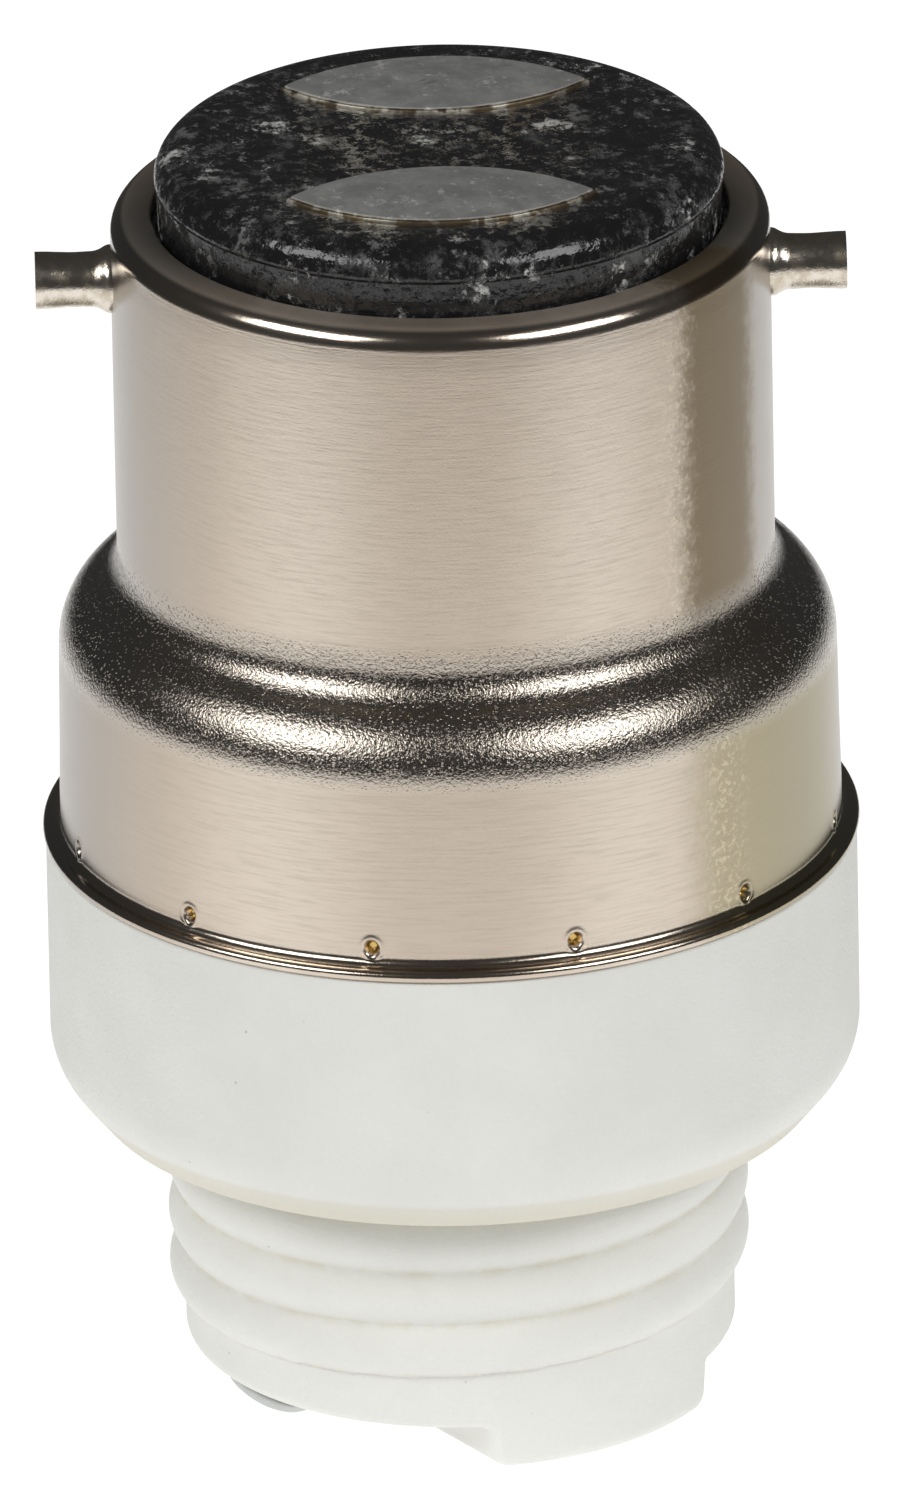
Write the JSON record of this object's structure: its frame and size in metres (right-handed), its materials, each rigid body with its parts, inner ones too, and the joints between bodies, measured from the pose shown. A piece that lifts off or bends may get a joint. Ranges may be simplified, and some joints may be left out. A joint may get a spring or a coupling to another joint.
{
  "type": "lamp socket converter",
  "caption": "Bayonet lamp cap fixed on a white socket body with a threaded end and a slot for a two-pin capsule lamp.",
  "frame": {"origin": "middle of the end face of the raised bar that it stands on", "axes": "+Z along the cap's axis, from the socket end up to the cap's contacts; +X along the lamp slot"},
  "size_m": [0.0274, 0.0274, 0.0448],
  "materials": {
    "cap_metal": "nickel plated, satin",
    "pin_metal": "nickel plated, polished",
    "black_glass": "opaque black, glossy",
    "contact_brass": "tarnished",
    "solder": "dull tinned",
    "white_body": "matt, unglazed",
    "clip_steel": "rolled",
    "contact_bronze": "rolled",
    "cover_board": "matt",
    "rivet_brass": "turned",
    "lead_copper": "drawn",
    "lead_sleeving": "braided, varnished"
  },
  "bodies": {
    "root": {"socket_body": "white_body", "cap_shell": "cap_metal", "bayonet_pin_left": "pin_metal", "bayonet_pin_right": "pin_metal", "insulator": "black_glass", "contact_plate_front": "contact_brass", "contact_plate_rear": "contact_brass", "contact_solder_front": "solder", "contact_solder_rear": "solder", "retaining_clip_front": "clip_steel", "retaining_clip_rear": "clip_steel", "lamp_contact_left": "contact_bronze", "lamp_contact_right": "contact_bronze", "rear_cover": "cover_board", "contact_rivet_left": "rivet_brass", "contact_rivet_right": "rivet_brass", "lead_wire_front": "lead_copper", "lead_wire_rear": "lead_copper", "lead_sleeve_front": "lead_sleeving", "lead_sleeve_rear": "lead_sleeving"}
  },
  "joints": []
}
